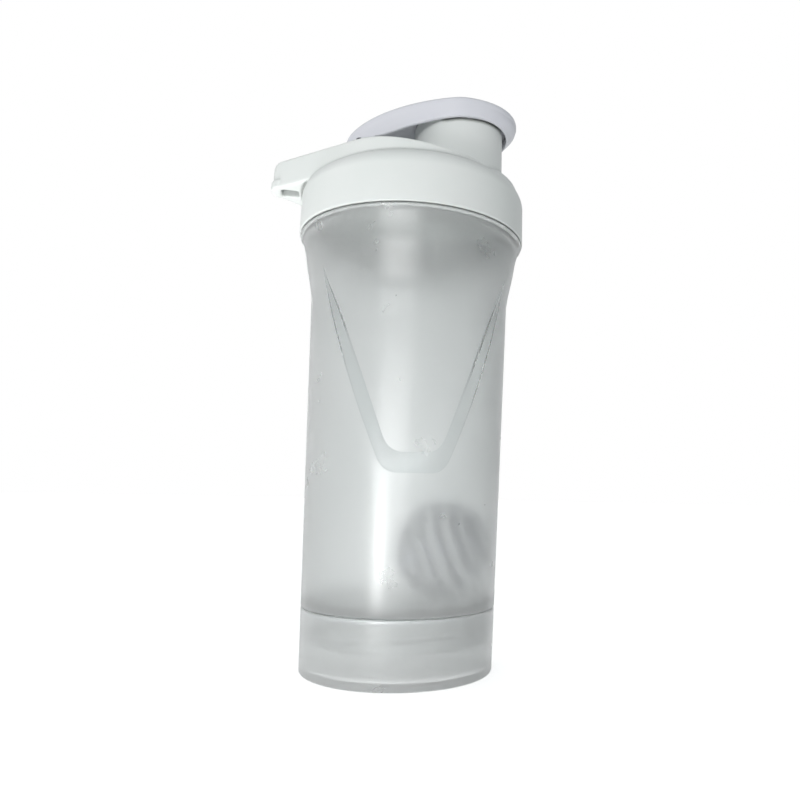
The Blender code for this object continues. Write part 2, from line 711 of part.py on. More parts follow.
def main():
    clear_scene()
    frosted = plastic("frosted_cup", (0.62, 0.66, 0.65), 0.45, alpha=0.55)
    white = plastic("lid_plastic", (0.80, 0.82, 0.81), 0.45)
    gloss = plastic("cap_plastic", (0.82, 0.82, 0.86), 0.22)
    silicone = plastic("silicone", (0.72, 0.74, 0.75), 0.60)
    steel = plastic("steel_wire", (0.55, 0.56, 0.58), 0.25, metallic=1.0)
    storage_cup(frosted)
    base_seal(silicone)
    cup(frosted)
    whisk_ball(steel)
    lid_gasket(silicone)
    lid(white)
    hinge_pin(steel)
    flip_cap(gloss)
    spout_seal(silicone)


main()
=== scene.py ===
"""Looks of the protein shaker bottle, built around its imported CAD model.

Lengths in this script are millimetres, apart from those handed to Blender through MM. +Z is up,
+X points at the spout and -X at the carry tab, and the photograph is taken from the -Y side.
"""

from math import asin, cos, hypot, pi, radians, sin, sqrt

import bmesh
import bpy
import numpy as np
import openvdb
from mathutils import Matrix, Vector


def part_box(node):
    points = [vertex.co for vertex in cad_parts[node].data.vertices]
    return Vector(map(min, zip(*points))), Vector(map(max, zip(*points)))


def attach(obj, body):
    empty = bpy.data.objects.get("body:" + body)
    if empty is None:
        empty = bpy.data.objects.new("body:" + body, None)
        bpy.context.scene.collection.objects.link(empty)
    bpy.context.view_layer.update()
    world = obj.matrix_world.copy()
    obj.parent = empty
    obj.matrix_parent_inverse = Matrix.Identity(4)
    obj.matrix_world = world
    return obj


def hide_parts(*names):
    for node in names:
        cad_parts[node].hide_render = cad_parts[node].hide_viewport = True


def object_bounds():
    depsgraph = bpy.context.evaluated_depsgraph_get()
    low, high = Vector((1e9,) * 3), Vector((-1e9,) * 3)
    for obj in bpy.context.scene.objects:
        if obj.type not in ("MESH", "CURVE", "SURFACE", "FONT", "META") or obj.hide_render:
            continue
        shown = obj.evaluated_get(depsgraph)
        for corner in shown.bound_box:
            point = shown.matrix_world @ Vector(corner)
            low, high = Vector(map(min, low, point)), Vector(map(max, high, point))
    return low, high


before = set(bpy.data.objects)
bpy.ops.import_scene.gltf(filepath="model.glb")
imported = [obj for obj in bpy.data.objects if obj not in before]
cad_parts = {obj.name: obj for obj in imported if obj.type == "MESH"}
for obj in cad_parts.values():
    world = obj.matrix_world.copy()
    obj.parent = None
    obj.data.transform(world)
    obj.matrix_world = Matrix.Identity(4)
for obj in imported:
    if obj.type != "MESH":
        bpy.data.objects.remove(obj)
cad_low, cad_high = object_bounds()

MM = 0.001


def box(node):
    """A CAD node's lowest and highest corners, in millimetres."""
    low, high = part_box(node)
    return low / MM, high / MM


# Anchors from the frame
STORE_HIGH = box("storage_cup")[1]
CUP_LOW, CUP_HIGH = box("cup")
LID_LOW, LID_HIGH = box("lid")
CAP_LOW, CAP_HIGH = box("flip_cap")
PLUG_LOW, PLUG_HIGH = box("spout_seal")
GASKET_LOW, GASKET_HIGH = box("lid_gasket")
SEAL_LOW, SEAL_HIGH = box("base_seal")
PIN_LOW, PIN_HIGH = box("hinge_pin")
BALL_LOW, BALL_HIGH = box("whisk_ball")
GAP = 0.3  # between faces that rest on each other
COLLAR_Z = LID_LOW.z - GAP
CUP_Z = STORE_HIGH.z + GAP
SPOUT_X = (PLUG_LOW.x + PLUG_HIGH.x) / 2
SPOUT_RIM = LID_HIGH.z
HINGE_X = (PIN_LOW.x + PIN_HIGH.x) / 2
HINGE_Z = (PIN_LOW.z + PIN_HIGH.z) / 2

# Wall of the cup and the storage cup
BASE_RADIUS = 37.5
BASE_ROUND = 0.8
WAIST_RADIUS = 41.65
WAIST_Z = COLLAR_Z - 28.4
FLARE = ((0, 0.0), (6.2, 0.85), (14, 2.5), (24, 4.4), (27, 5.35), (28.4, 6.15))  # rise, growth
WALL = 1.8
FLOOR = 2.2
CORNER = 3.0  # inside, between floor and wall
FLARE_END = 0.9  # slope of the flare at the collar

# Panel in the cup's wall: a polished band between an outer and an inner line
PANEL_DEPTH = 1.0
PANEL_FADE = 24.0  # height over which the depth runs out
PANEL_FADE_END = WAIST_Z + 8
PANEL_TOP = WAIST_Z + 10
PANEL_MIDDLE = WAIST_Z - 30
OUTER_FOOT, OUTER_CORNER = WAIST_Z - 71.5, 5.5
INNER_FOOT, INNER_CORNER = WAIST_Z - 64.0, 6.5
INNER_DROP = 3.0  # of the inner line's top below the outer line's
BAND = ((0.08, 0.28), (0.3, 0.36), (0.6, 0.46), (0.88, 0.55), (1.0, 1.0))  # place across, depth
PATCH_LOW, PATCH_HIGH = WAIST_Z - 80, WAIST_Z + 14
BORDER_LOOPS = 26  # between the patch's border and the outer line
MIDDLE_LOOPS = 36  # between the inner line and the panel's middle
COLUMNS = 288
PATCH_COLUMNS = 54  # either side of the panel's centre
PATCH_ROWS = 78

# Threads
STARTS = 2
THREAD_TURN = 150.0
THREAD_DEPTH = 1.3
THREAD_WIDTH = 2.0
NECK_RADIUS = 45.0
NECK_BORE = 43.3
NECK_LEAD = 12.0
NECK_THREAD_Z = CUP_HIGH.z - 3 - NECK_LEAD * THREAD_TURN / 360
BOSS_RADIUS = 34.33
BOSS_WALL = 2.0
BOSS_LEAD = 10.0
BOSS_THREAD_Z = SEAL_LOW.z - 1 - BOSS_LEAD * THREAD_TURN / 360
MESH_DROP = 1.9  # from a male ridge down to its female one
STORE_BORE = BOSS_RADIUS + THREAD_DEPTH + 0.4
PLAIN, NECK_THREAD, BOSS_THREAD, STORE_THREAD = range(4)  # kinds of ring
NECK_RINGS, BOSS_RINGS, STORE_RINGS = 50, 38, 44
WALL_RINGS_LOW, WALL_RINGS_HIGH, WALL_RINGS_INSIDE = 36, 22, 90
CORNER_STEPS = 6
THREADS = {NECK_THREAD: (NECK_THREAD_Z, NECK_LEAD, 1), BOSS_THREAD: (BOSS_THREAD_Z, BOSS_LEAD, 1),
           STORE_THREAD: (BOSS_THREAD_Z - MESH_DROP, BOSS_LEAD, -1)}  # foot, lead, out or in

# Lid
LID_RADIUS = LID_HIGH.y
LID_BORE = LID_RADIUS - 1.7
SEAT_Z = GASKET_HIGH.z + GAP
SHOULDER_ROUND = 8.0
SHOULDER_TOP = LID_LOW.z + 24.0
DECK_RADIUS = 42.0
DECK_Z = LID_LOW.z + 26.4
DECK_STEP = 4.6
DECK_HIGH_X, DECK_LOW_X = -28.0, 18.0
DECK_FALL = 0.12  # beyond its low end
DECK_PLATE = 2.2
DECK_RIM = 2.0
DECK_SINK = 1.2
TAB_REACH = 61.0
TAB_TIP = 5.8
TAB_FOOT = DECK_Z + DECK_STEP - 12.2
TAB_LIP = 0.6
TAB_LIP_HEIGHT = 4.0
TAB_CORNER = 3.5
SLOT_X = -LID_RADIUS - 5.15
SLOT_LENGTH, SLOT_WIDTH, SLOT_CORNER = 7.3, 7.0, 1.5
SPOUT_RADIUS = 20.0
SPOUT_BORE = 17.8
SPOUT_FLARE = ((0, 0.0), (0.5, 0.0), (3.5, 1.05), (5.5, 2.95), (7.2, 4.6), (9, 5.95), (11, 6.9),
               (14.5, 8.1), (20, 8.6))  # drop below the straight tube, growth
FLARE_TOP = DECK_Z + 12.4
FLARE_SHIFT = 6.0
LUG_RADIUS = 3.6
LUG_HALF = 4.5
LUG_SPREAD = 1.2  # wider at its root
PIN_BORE = 1.6  # radius
FIELD_CELL = 0.45  # of the grid that the lid's and the cap's surfaces are drawn from

# Flip cap
CAP_TOP = CAP_HIGH.z
CAP_RADIUS = CAP_HIGH.y
CAP_EDGE = SPOUT_RIM - 3.3
CAP_CEILING = PLUG_HIGH.z + GAP
CAP_BORE = 20.4
CAP_WALL = 1.8
CAP_LIP = CAP_HIGH.x - SPOUT_X - CAP_RADIUS
CAP_TAIL = HINGE_X - 6.4
CAP_TAIL_HALF = 9.4
CAP_CHEEK = 6.4  # radius round the pin
CAP_SWING = 1.5  # room that the spout needs as the cap turns
CAP_DISH, CAP_DISH_RIM = 1.2, 4.2
CAP_LOWER = ((-32, 4.6), (-21.3, 2.2), (-3.25, 7.3), (9.2, 10.3), (19.45, 11.3), (46, 10.5))  # x, height
ARM_FOOT = HINGE_Z - 2.5
ARM_POWER = 1.88
STEP_DROP = 3.4  # of the line on the thumb lip, below the cap's top
PLUG_RADIUS = SPOUT_BORE - 4.2

# Whisk ball
BALL_RADIUS = 19.0
WIRE_RADIUS = 1.1
WIRE_TURNS = 7
WIRE_STEPS = 48  # for each turn
WIRE_POLE = 16  # degrees from the pole to the wire's end
BALL_ROLL, BALL_LEAN = 22, 64  # degrees about X, then about Y

# Studio, in metres and watts
FLOOR_RADIUS = 12
FLOOR_DROP = 0.0001
FLOOR_GLOW = 0.6
MIDDLE = (0, 0, 0.12)
LEAN = (-0.12, 0.40, -0.14)  # where the surroundings are lighter
DARK, LIGHT = (0.14, 0.16, 0.17), (0.98, 0.99, 0.99)
LENS = 31.19
SHIFT_X, SHIFT_Y = -0.1004, -0.0467
CAMERA_PLACE = (-0.02653, -0.29153, 0.06645)
CAMERA_TURN, CAMERA_RISE, CAMERA_ROLL = -11.27, 10.97, 1.04  # degrees


# Numbers

def smooth_step(t):
    """Rises from 0 to 1, level at both ends."""
    t = np.clip(t, 0, 1)
    return t * t * (3 - 2 * t)


def smooth_curve(points, at, start=None, end=None):
    """A smooth curve through (place, value) points, which keeps its end values beyond its ends.

    start and end are its slopes there. Without them both are the slope of the first stretch.
    """
    places, values = (np.array(column, float) for column in zip(*points))
    slopes = np.gradient(values, places)
    if start is not None:
        slopes[0] = start
    slopes[-1] = slopes[0] if end is None else end
    at = np.clip(at, places[0], places[-1])
    i = np.clip(np.searchsorted(places, at) - 1, 0, len(places) - 2)
    width = places[i + 1] - places[i]
    t = (at - places[i]) / width
    return ((2 * t**3 - 3 * t**2 + 1) * values[i] + (t**3 - 2 * t**2 + t) * width * slopes[i]
            + (3 * t**2 - 2 * t**3) * values[i + 1] + (t**3 - t**2) * width * slopes[i + 1])


def smooth_min(a, b, k):
    """The lower of two distances, blended over k millimetres."""
    h = np.clip(0.5 + 0.5 * (b - a) / k, 0, 1)
    return b + (a - b) * h - k * h * (1 - h)


def smooth_max(a, b, k):
    """The higher of two distances, blended over k millimetres."""
    return -smooth_min(-a, -b, k)


def wall_radius(z):
    """Outside radius of the storage cup and of the cup, up to the collar."""
    taper = (WAIST_RADIUS - BASE_RADIUS) / WAIST_Z
    straight = BASE_RADIUS + (WAIST_RADIUS - BASE_RADIUS) * np.minimum(z, WAIST_Z) / WAIST_Z
    return straight + smooth_curve(FLARE, np.maximum(z - WAIST_Z, 0), taper, FLARE_END)


def ridges(angle, z, foot, lead):
    """Share of the thread's full depth at an angle in degrees and a height."""
    best = np.zeros(np.broadcast(angle, z).shape)
    for start in range(STARTS):
        along = (angle - 360 * start / STARTS) % 360
        share = along / THREAD_TURN
        centre = foot + lead * along / 360
        slope = (THREAD_WIDTH / 2 - np.abs(z - centre)) / (THREAD_WIDTH / 4)
        ends = np.clip(np.minimum(8 * share, 8 * (1 - share)), 0, 1)
        best = np.maximum(best, smooth_step(slope) * ends)
    return best


# Meshes

def mesh_piece(name, points, faces):
    """A new object from points in millimetres."""
    mesh = bpy.data.meshes.new(name)
    mesh.from_pydata([tuple(np.array(p) * MM) for p in points], [], faces)
    obj = bpy.data.objects.new(name, mesh)
    bpy.context.scene.collection.objects.link(obj)
    return obj


def outward(obj):
    """Turns every face outwards and shades the mesh smooth."""
    bm = bmesh.new()
    bm.from_mesh(obj.data)
    bmesh.ops.recalc_face_normals(bm, faces=bm.faces)
    bm.to_mesh(obj.data)
    bm.free()
    obj.data.shade_smooth()
    return obj


def surfaced(name, field, low, high, cell):
    """The surface where field(x, y, z) is zero, with its points moved onto it."""
    axes = [np.arange(a, b + cell, cell) for a, b in zip(low, high)]
    values = field(*np.meshgrid(*axes, indexing="ij"))
    grid = openvdb.FloatGrid()
    grid.copyFromArray(values.astype(np.float32))
    points, quads = grid.convertToQuads(0.0)
    points = points * cell + np.array(low)
    nudge = 0.05
    for _ in range(3):
        here = field(*points.T)
        slope = np.stack([field(*(points + nudge * axis).T) - here for axis in np.eye(3)], 1) / nudge
        steps = here[:, None] * slope / np.maximum((slope**2).sum(1), 0.2)[:, None]
        points -= np.clip(steps, -0.4 * cell, 0.4 * cell)
    mesh = bpy.data.meshes.new(name)
    mesh.from_pydata((points * MM).tolist(), [], quads.tolist())
    obj = bpy.data.objects.new(name, mesh)
    bpy.context.scene.collection.objects.link(obj)
    return outward(obj)


def rounded(profile, radius, steps=4):
    """A closed (radius, z) outline with every corner off the axis rounded."""
    count = len(profile)
    result = []
    for i, corner in enumerate(profile):
        before, after = Vector(profile[i - 1]), Vector(profile[(i + 1) % count])
        corner = Vector(corner)
        if corner.x < 1e-6:
            result.append(tuple(corner))
            continue
        reach = min(radius, 0.45 * (before - corner).length, 0.45 * (after - corner).length)
        first = corner + (before - corner).normalized() * reach
        last = corner + (after - corner).normalized() * reach
        for k in range(steps + 1):
            t = k / steps
            result.append(tuple(first * (1 - t) ** 2 + corner * 2 * t * (1 - t) + last * t * t))
    return result


def turned(name, profile, x=0.0, segments=192, sharp=40):
    """A solid of revolution about the vertical axis at x."""
    points, rings = [], []
    for radius, z in profile:
        count = 1 if radius < 1e-6 else segments
        rings.append(list(range(len(points), len(points) + count)))
        for i in range(count):
            a = 2 * pi * i / segments
            points.append((x + radius * cos(a), radius * sin(a), z))
    faces = []
    for first, second in zip(rings, rings[1:] + rings[:1]):
        for i in range(segments):
            j = (i + 1) % segments
            corners = [first[i % len(first)], first[j % len(first)]]
            corners += [second[j % len(second)], second[i % len(second)]]
            face = list(dict.fromkeys(corners))
            if len(face) > 2:
                faces.append(face)
    obj = outward(mesh_piece(name, points, faces))
    obj.data.set_sharp_from_angle(angle=radians(sharp))
    return obj


def placed(obj, body, node):
    """Rides the piece on its body and hides the CAD node it stands for."""
    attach(obj, body)
    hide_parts(node)
    return obj


# Materials

def material(name, color, roughness, **sockets):
    """A Principled material. Keywords set its other sockets, with _ for a space."""
    result = bpy.data.materials.new(name)
    result.use_nodes = True
    shader = result.node_tree.nodes["Principled BSDF"]
    shader.inputs["Base Color"].default_value = (*color, 1)
    shader.inputs["Roughness"].default_value = roughness
    for socket, value in sockets.items():
        shader.inputs[socket.replace("_", " ")].default_value = value
    return result


def add_node(mat, kind, **values):
    """A new node. Keywords set its sockets or its own settings."""
    node = mat.node_tree.nodes.new(kind)
    for name, value in values.items():
        if name in node.inputs:
            node.inputs[name].default_value = value
        else:
            setattr(node, name, value)
    return node


def surface_noise(mat, scale, detail=3.0, stretch=(1, 1, 1)):
    """A noise texture in the object's own space. scale is per metre."""
    links = mat.node_tree.links
    place = add_node(mat, "ShaderNodeTexCoord")
    mapping = add_node(mat, "ShaderNodeMapping", Scale=stretch)
    noise = add_node(mat, "ShaderNodeTexNoise", Scale=scale, Detail=detail, Roughness=0.55)
    links.new(place.outputs["Object"], mapping.inputs["Vector"])
    links.new(mapping.outputs["Vector"], noise.inputs["Vector"])
    return noise.outputs["Fac"]


def vary_color(mat, source, dark, light):
    """Blends between two colours by a noise."""
    ramp = add_node(mat, "ShaderNodeValToRGB")
    ramp.color_ramp.elements[0].position = 0.35
    ramp.color_ramp.elements[0].color = (*dark, 1)
    ramp.color_ramp.elements[1].position = 0.65
    ramp.color_ramp.elements[1].color = (*light, 1)
    mat.node_tree.links.new(source, ramp.inputs["Fac"])
    mat.node_tree.links.new(ramp.outputs["Color"], shader_of(mat).inputs["Base Color"])


def shader_of(mat):
    return mat.node_tree.nodes["Principled BSDF"]


def vary_roughness(mat, source, low, high):
    """Lets the roughness drift between two values with a noise."""
    spread = add_node(mat, "ShaderNodeMapRange")
    spread.inputs["From Min"].default_value = 0.3
    spread.inputs["From Max"].default_value = 0.7
    spread.inputs["To Min"].default_value = low
    spread.inputs["To Max"].default_value = high
    mat.node_tree.links.new(source, spread.inputs["Value"])
    mat.node_tree.links.new(spread.outputs["Result"], shader_of(mat).inputs["Roughness"])


def add_bump(mat, source, height, strength=1.0):
    """Fine grain from a noise, height millimetres deep."""
    bump = add_node(mat, "ShaderNodeBump", Strength=strength, Distance=height * MM)
    mat.node_tree.links.new(source, bump.inputs["Height"])
    mat.node_tree.links.new(bump.outputs["Normal"], shader_of(mat).inputs["Normal"])


def paint_corner_shade(mat, reach, color):
    """Painted shade: darkens the colour in deep corners and creases, within reach millimetres, towards a
    colour.
    """
    links = mat.node_tree.links
    target = shader_of(mat).inputs["Base Color"]
    source = target.links[0].from_socket
    # Painted shade: occlusion within the reach sets how far the colour goes dark.
    shade_probe = add_node(mat, "ShaderNodeAmbientOcclusion", samples=8, Distance=reach * MM)
    share = add_node(mat, "ShaderNodeMapRange")
    share.inputs["From Min"].default_value = 0.6
    share.inputs["From Max"].default_value = 0.95
    mix = add_node(mat, "ShaderNodeMix", data_type="RGBA")
    links.new(shade_probe.outputs["AO"], share.inputs["Value"])
    links.new(share.outputs["Result"], mix.inputs["Factor"])
    first, second, result = mix.inputs[6], mix.inputs[7], mix.outputs[2]
    first.default_value = (*color, 1)
    links.new(source, second)
    links.new(result, target)


def frosted_plastic(name, roughness, spread, grain, transmission=0.9):
    """Translucent plastic, with a grain in millimetres."""
    mat = material(name, (0.87, 0.885, 0.88), roughness, Transmission_Weight=transmission, IOR=1.49)
    vary_color(mat, surface_noise(mat, 18), (0.86, 0.88, 0.875), (0.89, 0.905, 0.90))
    vary_roughness(mat, surface_noise(mat, 60), roughness - spread, roughness + spread)
    add_bump(mat, surface_noise(mat, 2600, 2), grain)
    return mat


def polished_plastic():
    """Clear plastic of the band round the panel, with slight waves."""
    mat = material("polished_band", (0.90, 0.93, 0.93), 0.05, Transmission_Weight=0.97, IOR=1.49)
    vary_color(mat, surface_noise(mat, 40), (0.88, 0.92, 0.92), (0.93, 0.95, 0.95))
    vary_roughness(mat, surface_noise(mat, 120), 0.04, 0.09)
    add_bump(mat, surface_noise(mat, 220, 1), 0.03, 0.6)
    return mat


def lid_plastic():
    """Off-white satin plastic, with painted shade in its corners and creases."""
    mat = material("lid_plastic", (0.74, 0.77, 0.75), 0.42, IOR=1.47)
    vary_color(mat, surface_noise(mat, 25), (0.735, 0.765, 0.745), (0.765, 0.785, 0.77))
    vary_roughness(mat, surface_noise(mat, 90), 0.36, 0.46)
    add_bump(mat, surface_noise(mat, 2200, 2), 0.012)
    # Painted shade in the lid's corners and creases, towards a dark grey.
    paint_corner_shade(mat, 1.8, (0.20, 0.21, 0.20))
    return mat


def cap_plastic():
    """Cooler and glossier white plastic, with painted shade in its corners and creases."""
    mat = material("cap_plastic", (0.74, 0.74, 0.79), 0.2, IOR=1.5)
    vary_color(mat, surface_noise(mat, 30), (0.72, 0.725, 0.775), (0.755, 0.755, 0.80))
    vary_roughness(mat, surface_noise(mat, 110), 0.15, 0.25)
    add_bump(mat, surface_noise(mat, 150, 2), 0.03, 0.35)
    # Painted shade in the cap's corners and creases, towards a dark grey.
    paint_corner_shade(mat, 1.8, (0.20, 0.20, 0.22))
    return mat


def silicone():
    """Soft matt seals."""
    mat = material("silicone", (0.70, 0.73, 0.74), 0.55, IOR=1.41)
    vary_color(mat, surface_noise(mat, 60), (0.68, 0.71, 0.72), (0.73, 0.75, 0.76))
    vary_roughness(mat, surface_noise(mat, 300), 0.48, 0.6)
    add_bump(mat, surface_noise(mat, 3000, 2), 0.01)
    return mat


def painted_dark_steel():
    """Drawn wire, its colour painted dark blue-grey as painted shade, standing in for how little of the
    white surroundings reaches it.
    """
    # Painted shade: a base colour far darker and bluer than bare steel, for the ball's dark arcs.
    mat = material("steel_wire", (0.14, 0.15, 0.19), 0.28, Metallic=1.0)
    vary_color(mat, surface_noise(mat, 120), (0.11, 0.12, 0.16), (0.18, 0.19, 0.23))
    vary_roughness(mat, surface_noise(mat, 500), 0.2, 0.34)
    add_bump(mat, surface_noise(mat, 3500, 2), 0.008)
    return mat


# Cup

def bezier(start, control, end, steps):
    """Points of a quadratic curve, without its last point."""
    points = []
    for i in range(steps):
        t = i / steps
        points.append(tuple((1 - t) ** 2 * a + 2 * t * (1 - t) * b + t * t * c
                            for a, b, c in zip(start, control, end)))
    return points


def outer_side(z):
    """Half width of the panel's outer line above its lower corner."""
    rise = z - (WAIST_Z - 67)
    return 13.1 + 0.43 * rise - 0.00152 * rise * rise


def inner_side(z):
    """Half width of the panel's inner line, which is straight."""
    return 12.0 + 0.374 * (z - (WAIST_Z - 58))


def panel_line(foot, side, corner, top):
    """The closed outline of the panel: bottom, right side, top and left side."""
    bend = foot + corner
    meet = side(foot)
    flat = meet - 0.9 * corner
    steps = PATCH_COLUMNS // 2
    bottom = [(flat * i / steps, foot) for i in range(steps)]
    bottom += bezier((flat, foot), (meet, foot), (side(bend), bend), PATCH_COLUMNS - steps)
    rise = top - bend
    heights = [bend + rise * i / PATCH_ROWS for i in range(PATCH_ROWS)]
    right = [(side(z), z) for z in heights]
    across = [(side(top) * (1 - i / PATCH_COLUMNS), top) for i in range(PATCH_COLUMNS)]
    half_line = bottom + right + across
    mirrored = [(-x, z) for x, z in reversed(half_line[1:])]
    return half_line + [(0.0, top)] + mirrored


def patch_border():
    """Corners of the panel's patch as (angle, z), in the same order as panel_line."""
    step = 2 * pi / COLUMNS
    rise = (PATCH_HIGH - PATCH_LOW) / PATCH_ROWS
    half = [(i * step, PATCH_LOW) for i in range(PATCH_COLUMNS)]
    half += [(PATCH_COLUMNS * step, PATCH_LOW + i * rise) for i in range(PATCH_ROWS)]
    half += [((PATCH_COLUMNS - i) * step, PATCH_HIGH) for i in range(PATCH_COLUMNS)]
    mirrored = [(-a, z) for a, z in reversed(half[1:])]
    return half + [(0.0, PATCH_HIGH)] + mirrored


def angles_of(line):
    """(half width, z) points as (angle, z) on the wall."""
    return [(asin(x / float(wall_radius(z))), z) for x, z in line]


def panel_sink(z):
    """Depth of the panel, which runs out at its top."""
    return PANEL_DEPTH * float(smooth_step((PANEL_FADE_END - z) / PANEL_FADE))


def panel_loops():
    """(line, depth share) loops from the patch's border to the panel's middle, and the band's."""
    border = patch_border()
    outer = angles_of(panel_line(OUTER_FOOT, outer_side, OUTER_CORNER, PANEL_TOP))
    inner = angles_of(panel_line(INNER_FOOT, inner_side, INNER_CORNER, PANEL_TOP - INNER_DROP))
    middle = [(0.0, PANEL_MIDDLE)] * len(inner)

    def blend(first, second, t):
        return [(a + (c - a) * t, b + (d - b) * t) for (a, b), (c, d) in zip(first, second)]

    steps = range(1, BORDER_LOOPS + 1)
    loops = [(blend(border, outer, i / BORDER_LOOPS), 0.0) for i in steps]
    band = [len(loops) - 1]
    for across, sink in BAND:
        loops.append((blend(outer, inner, across), sink))
        band.append(len(loops) - 1)
    loops += [(blend(inner, middle, i / MIDDLE_LOOPS), 1.0) for i in range(1, MIDDLE_LOOPS)]
    return loops, band


def wall_point(angle, z, centre, sink):
    """A point on the outside of the wall, at an angle from the direction centre."""
    radius = float(wall_radius(z)) - sink
    return radius * cos(centre + angle), radius * sin(centre + angle), z


def in_patch(row, column, low_row, high_row):
    """Whether a face of the turned wall lies where a panel's patch goes."""
    for middle in (COLUMNS // 4, 3 * COLUMNS // 4):
        if low_row <= row < high_row and middle - PATCH_COLUMNS <= column < middle + PATCH_COLUMNS:
            return True
    return False


def wall_heights():
    """Heights of the wall's rings, and the first and last row of the panel's patch."""
    heights = [float(z) for z in np.linspace(CUP_Z + 1.2, PATCH_LOW, WALL_RINGS_LOW)[:-1]]
    rise = (PATCH_HIGH - PATCH_LOW) / PATCH_ROWS
    low_row = len(heights)
    heights += [PATCH_LOW + rise * i for i in range(PATCH_ROWS + 1)]
    high_row = len(heights) - 1
    heights += [float(z) for z in np.linspace(PATCH_HIGH, COLLAR_Z - 0.9, WALL_RINGS_HIGH)[1:]]
    return heights, low_row, high_row


def rings_between(radius, first, last, count, thread=PLAIN):
    """(radius, z, thread) rings of one radius between two heights."""
    return [(radius, float(z), thread) for z in np.linspace(first, last, count)]


def collar_and_neck():
    """Rings above the wall: the collar's rounded edge, the threaded neck and its lip."""
    top = float(wall_radius(COLLAR_Z))
    collar = [(top, COLLAR_Z - 0.6, PLAIN), (top + 0.02, COLLAR_Z - 0.35, PLAIN),
              (top - 0.15, COLLAR_Z - 0.08, PLAIN), (top - 0.4, COLLAR_Z, PLAIN),
              (NECK_RADIUS + 0.4, COLLAR_Z, PLAIN), (NECK_RADIUS + 0.1, COLLAR_Z + 0.1, PLAIN),
              (NECK_RADIUS, COLLAR_Z + 0.4, PLAIN)]
    rim = CUP_HIGH.z
    neck = rings_between(NECK_RADIUS, COLLAR_Z + 0.7, rim - 0.7, NECK_RINGS, NECK_THREAD)
    lip = [(NECK_RADIUS - 0.12, rim - 0.2, PLAIN), (NECK_RADIUS - 0.5, rim, PLAIN),
           (NECK_BORE + 0.5, rim, PLAIN), (NECK_BORE + 0.12, rim - 0.2, PLAIN)]
    return collar + neck + lip


def cup_inside():
    """Rings down the inside of the neck and the wall, round the corner and across the floor."""
    bend = CUP_Z + FLOOR + CORNER
    inside = rings_between(NECK_BORE, CUP_HIGH.z - 0.7, COLLAR_Z - 1, 12)
    for z in np.linspace(COLLAR_Z - 3, bend, WALL_RINGS_INSIDE):
        inside.append((min(NECK_BORE, float(wall_radius(z)) - WALL), float(z), PLAIN))
    last = float(wall_radius(bend)) - WALL
    for i in range(1, CORNER_STEPS + 1):
        a = pi / 2 * i / CORNER_STEPS
        inside.append((last - CORNER + CORNER * cos(a), bend - CORNER * sin(a), PLAIN))
    return inside + [(radius, CUP_Z + FLOOR, PLAIN) for radius in (26.0, 16.0, 8.0, 0.0)]


def cup_foot():
    """Rings from the middle of the cup's underside, round the threaded boss, to its outer edge."""
    boss_in = BOSS_RADIUS - BOSS_WALL
    edge = float(wall_radius(CUP_Z))
    foot = [(0.0, CUP_Z, PLAIN), (12.0, CUP_Z, PLAIN), (24.0, CUP_Z, PLAIN),
            (boss_in - 0.6, CUP_Z, PLAIN), (boss_in - 0.15, CUP_Z - 0.15, PLAIN),
            (boss_in, CUP_Z - 0.6, PLAIN), (boss_in, CUP_LOW.z + 0.3, PLAIN),
            (boss_in + 0.3, CUP_LOW.z, PLAIN), (BOSS_RADIUS - 0.5, CUP_LOW.z, PLAIN),
            (BOSS_RADIUS - 0.1, CUP_LOW.z + 0.2, PLAIN)]
    foot += rings_between(BOSS_RADIUS, CUP_LOW.z + 0.6, SEAL_LOW.z - 0.1, BOSS_RINGS, BOSS_THREAD)
    return foot + [(BOSS_RADIUS, CUP_Z - 0.5, PLAIN), (BOSS_RADIUS + 0.2, CUP_Z, PLAIN),
                   (edge - 0.5, CUP_Z, PLAIN), (edge - 0.14, CUP_Z + 0.12, PLAIN),
                   (edge, CUP_Z + 0.5, PLAIN)]


def ring_points(radius, z, thread):
    """The points of one ring, raised where a thread passes."""
    if radius < 1e-6:
        return [(0.0, 0.0, z)]
    angles = np.arange(COLUMNS) * 2 * pi / COLUMNS
    radii = np.full(COLUMNS, radius)
    if thread:
        foot, lead, way = THREADS[thread]
        radii += way * THREAD_DEPTH * ridges(np.degrees(angles), z, foot, lead)
    return [(r * cos(a), r * sin(a), z) for r, a in zip(radii, angles)]


FROSTED, INSIDE, POLISHED = range(3)  # the cup's materials, in their order on the mesh


def turned_rings(profile, points):
    """Adds the rings' points and returns (first index, count) for each ring."""
    rings = []
    for radius, z, thread in profile:
        ring = ring_points(radius, z, thread)
        rings.append((len(points), len(ring)))
        points += ring
    return rings


def quad_between(lower, upper, column):
    """Corners of the face between two rings. It's a triangle where a ring is one point."""
    after = (column + 1) % COLUMNS
    (first, few), (second, many) = lower, upper
    corners = (first + column % few, first + after % few, second + after % many, second + column % many)
    return list(dict.fromkeys(corners))


def cup_mesh():
    """The cup: turned rings, with a patch of loops for the panel on each side."""
    heights, low_row, high_row = wall_heights()
    foot, above = cup_foot(), collar_and_neck()
    wall = [(float(wall_radius(z)), z, PLAIN) for z in heights]
    points, faces, kinds, creases = [], [], [], []
    rings = turned_rings(foot + wall + above + cup_inside(), points)
    wall_start = len(foot)
    inside_from = len(foot) + len(wall) + len(above)
    for row, (lower, upper) in enumerate(zip(rings, rings[1:])):
        for column in range(COLUMNS):
            if in_patch(row - wall_start, column, low_row, high_row):
                continue
            faces.append(quad_between(lower, upper, column))
            kinds.append(INSIDE if row >= inside_from else FROSTED)
    for centre in (pi / 2, 3 * pi / 2):
        middle = round(centre / (2 * pi) * COLUMNS)
        border = border_indices(rings, wall_start, low_row, high_row, middle)
        creases += add_patch(points, faces, kinds, border, centre)
    return points, faces, kinds, creases


